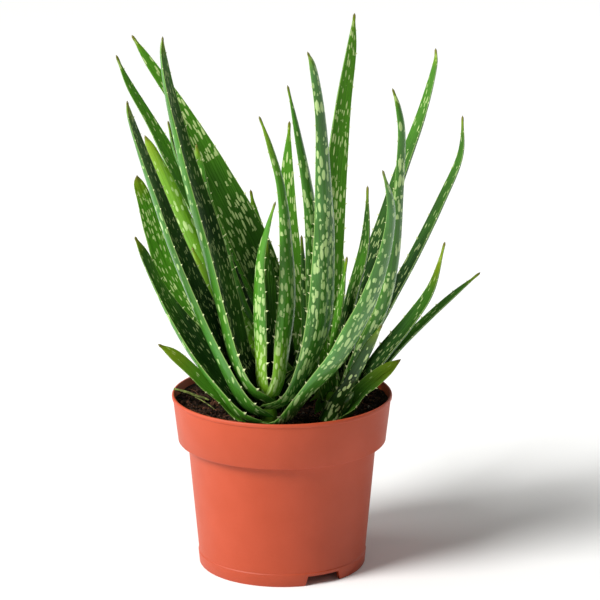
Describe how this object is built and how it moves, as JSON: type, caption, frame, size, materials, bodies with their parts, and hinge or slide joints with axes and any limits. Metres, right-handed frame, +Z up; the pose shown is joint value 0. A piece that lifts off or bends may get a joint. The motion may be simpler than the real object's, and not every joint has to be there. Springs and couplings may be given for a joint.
{
  "type": "potted aloe plant",
  "caption": "Potted aloe: upright, tapering fleshy leaves with toothed margins clasp short stems in dark soil, in a plain tapered nursery pot with a collar and drained foot",
  "frame": {"origin": "the middle of the pot's underside, at the level where the pot stands", "axes": "+Z is up along the pot's axis, +X is the picture's right, and -Y faces the viewer"},
  "size_m": [0.1986, 0.144, 0.301],
  "materials": {
    "pot": "matte",
    "soil": "rough granular",
    "stem": "matte",
    "leaf": "waxy satin"
  },
  "bodies": {
    "root": {"pot": "pot", "soil": "soil", "front_stem": "stem", "back_stem": "stem", "right_stem": "stem", "front_leaf_1": "leaf", "front_leaf_2": "leaf", "front_leaf_3": "leaf", "front_leaf_4": "leaf", "front_leaf_5": "leaf", "front_leaf_6": "leaf", "front_leaf_7": "leaf", "front_leaf_8": "leaf", "front_leaf_9": "leaf", "back_leaf_1": "leaf", "back_leaf_2": "leaf", "back_leaf_3": "leaf", "back_leaf_4": "leaf", "back_leaf_5": "leaf", "back_leaf_6": "leaf", "back_leaf_7": "leaf", "back_leaf_8": "leaf", "back_leaf_9": "leaf", "back_leaf_10": "leaf", "back_leaf_11": "leaf", "back_leaf_12": "leaf", "back_leaf_13": "leaf", "right_leaf_1": "leaf", "right_leaf_2": "leaf", "right_leaf_3": "leaf", "right_leaf_4": "leaf", "right_leaf_5": "leaf", "right_leaf_6": "leaf", "right_leaf_7": "leaf", "right_leaf_8": "leaf", "right_leaf_9": "leaf", "right_leaf_10": "leaf", "right_leaf_11": "leaf"}
  },
  "joints": []
}
